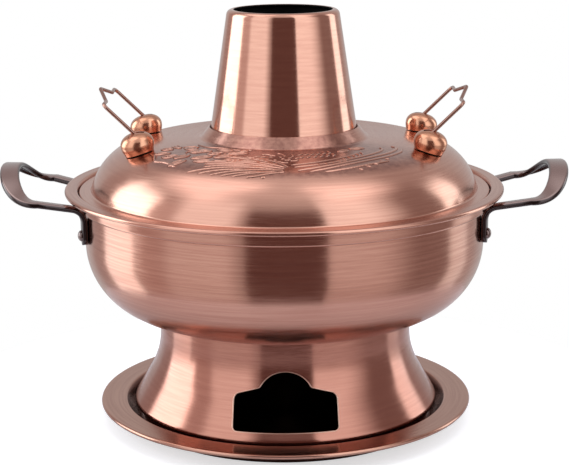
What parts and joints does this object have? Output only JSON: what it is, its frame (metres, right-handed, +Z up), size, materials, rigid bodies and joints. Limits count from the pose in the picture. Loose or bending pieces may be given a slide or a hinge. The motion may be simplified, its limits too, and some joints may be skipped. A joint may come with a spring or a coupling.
{
  "type": "chimney hot pot",
  "caption": "Copper-toned chimney hot pot: round pan on a waisted stand with a fire door, set in a tray, with a lift-off lid round the chimney, swinging wire bails and riveted strap handles.",
  "frame": {"origin": "centre of the tray's flat underside, on the table", "axes": "+X to the right-hand handle, +Y to the rear, +Z up along the chimney; the fire door faces -Y"},
  "size_m": [0.4128, 0.32, 0.3035],
  "materials": {
    "copper_steel": "copper-toned stainless steel, brushed round the axis",
    "bright_copper": "bright copper plating, polished",
    "dark_bronze": "dark bronze plating, satin",
    "iron": "plain iron plate",
    "fastener_steel": "plain steel",
    "black_rubber": "matt silicone rubber"
  },
  "bodies": {
    "tray": {"tray": "copper_steel"},
    "pot": {"stand": "copper_steel", "bowl": "copper_steel", "fire_tube": "copper_steel", "grate_ring": "iron", "grate": "iron", "handle_left": "dark_bronze", "handle_right": "dark_bronze", "handle_left_rivets": "dark_bronze", "handle_right_rivets": "dark_bronze", "rivet_washers": "fastener_steel"},
    "lid": {"lid": "copper_steel", "knob_left_front": "bright_copper", "knob_left_rear": "bright_copper", "knob_right_front": "bright_copper", "knob_right_rear": "bright_copper", "knob_gaskets": "black_rubber", "knob_screws": "fastener_steel", "screw_washers": "fastener_steel"},
    "bail_left": {"bail_left": "bright_copper"},
    "bail_right": {"bail_right": "bright_copper"}
  },
  "joints": [
    {"name": "pot_lift", "type": "slide", "parent": "tray", "child": "pot", "axis": [0, 0, 1], "range_m": [0, 0.06]},
    {"name": "lid_lift", "type": "slide", "parent": "pot", "child": "lid", "axis": [0, 0, 1], "range_m": [0, 0.15]},
    {"name": "bail_left_hinge", "type": "hinge", "parent": "lid", "child": "bail_left", "pos_m": [-0.10264, 0, 0.21765], "axis": [0, 1, 0], "range_deg": [0, 80]},
    {"name": "bail_right_hinge", "type": "hinge", "parent": "lid", "child": "bail_right", "pos_m": [0.10264, 0, 0.21765], "axis": [0, -1, 0], "range_deg": [0, 80]}
  ]
}
